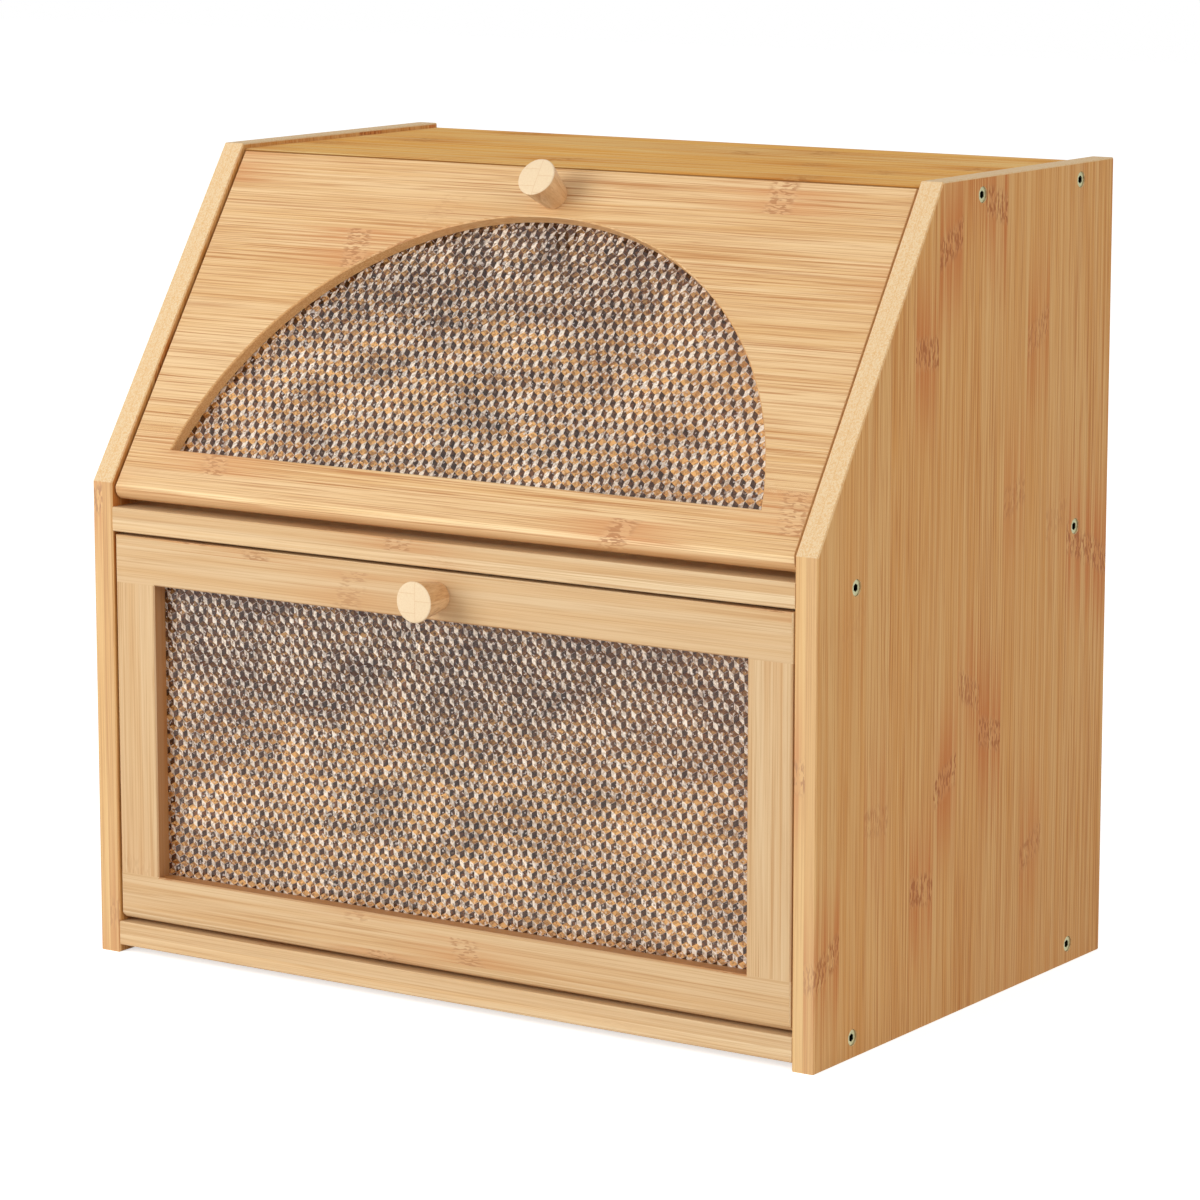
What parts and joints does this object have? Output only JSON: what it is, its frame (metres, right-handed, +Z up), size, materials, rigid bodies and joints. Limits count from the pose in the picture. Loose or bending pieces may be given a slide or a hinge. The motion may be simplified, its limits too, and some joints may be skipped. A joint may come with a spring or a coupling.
{
  "type": "two-tier bread box",
  "caption": "Bamboo bread box with a sloped upper flap door with a half-moon window and an upright framed lower flap door.",
  "frame": {"origin": "on the counter, under the middle of the closed box's bounding box, knobs included", "axes": "+Z up, +Y from the doors to the back, +X to the right of someone facing the doors"},
  "size_m": [0.38, 0.2694, 0.364],
  "materials": {
    "bamboo_side": "satin",
    "bamboo_top": "satin",
    "bamboo_shelf": "satin",
    "bamboo_back": "satin",
    "bamboo_block": "satin",
    "bamboo_upper_door": "satin",
    "bamboo_lower_door": "satin",
    "bamboo_knob": "satin",
    "beech_dowel": "matte",
    "embossed_pane": "embossed, gloss",
    "screw_steel": "zinc plated, yellowish",
    "small_screw_steel": "zinc plated",
    "pin_steel": "polished",
    "magnet": "nickel plated",
    "strike_steel": "nickel plated"
  },
  "bodies": {
    "case": {"left_side_panel": "bamboo_side", "right_side_panel": "bamboo_side", "top_panel": "bamboo_top", "middle_shelf": "bamboo_shelf", "bottom_panel": "bamboo_shelf", "back_panel": "bamboo_back", "case_screws": "screw_steel", "upper_catch_magnets": "magnet", "lower_stop_block": "bamboo_block", "stop_block_screws": "small_screw_steel", "lower_catch_magnets": "magnet"},
    "upper_door": {"upper_door_board": "bamboo_upper_door", "upper_window_pane": "embossed_pane", "upper_pane_screws": "small_screw_steel", "upper_knob": "bamboo_knob", "upper_knob_screw": "small_screw_steel", "upper_strikes": "strike_steel", "upper_hinge_pins": "pin_steel"},
    "lower_door": {"lower_top_rail": "bamboo_lower_door", "lower_bottom_rail": "bamboo_lower_door", "lower_left_stile": "bamboo_lower_door", "lower_right_stile": "bamboo_lower_door", "lower_window_pane": "embossed_pane", "lower_pane_screws": "small_screw_steel", "lower_knob": "bamboo_knob", "lower_knob_screw": "small_screw_steel", "lower_strikes": "strike_steel", "lower_frame_dowels": "beech_dowel", "lower_hinge_pins": "pin_steel"}
  },
  "joints": [
    {"name": "upper_door_hinge", "type": "hinge", "parent": "case", "child": "upper_door", "pos_m": [0, -0.11035, 0.2142], "axis": [1, 0, 0], "range_deg": [0, 145]},
    {"name": "lower_door_hinge", "type": "hinge", "parent": "case", "child": "lower_door", "pos_m": [0, -0.11115, 0.0214], "axis": [1, 0, 0], "range_deg": [0, 88]}
  ]
}
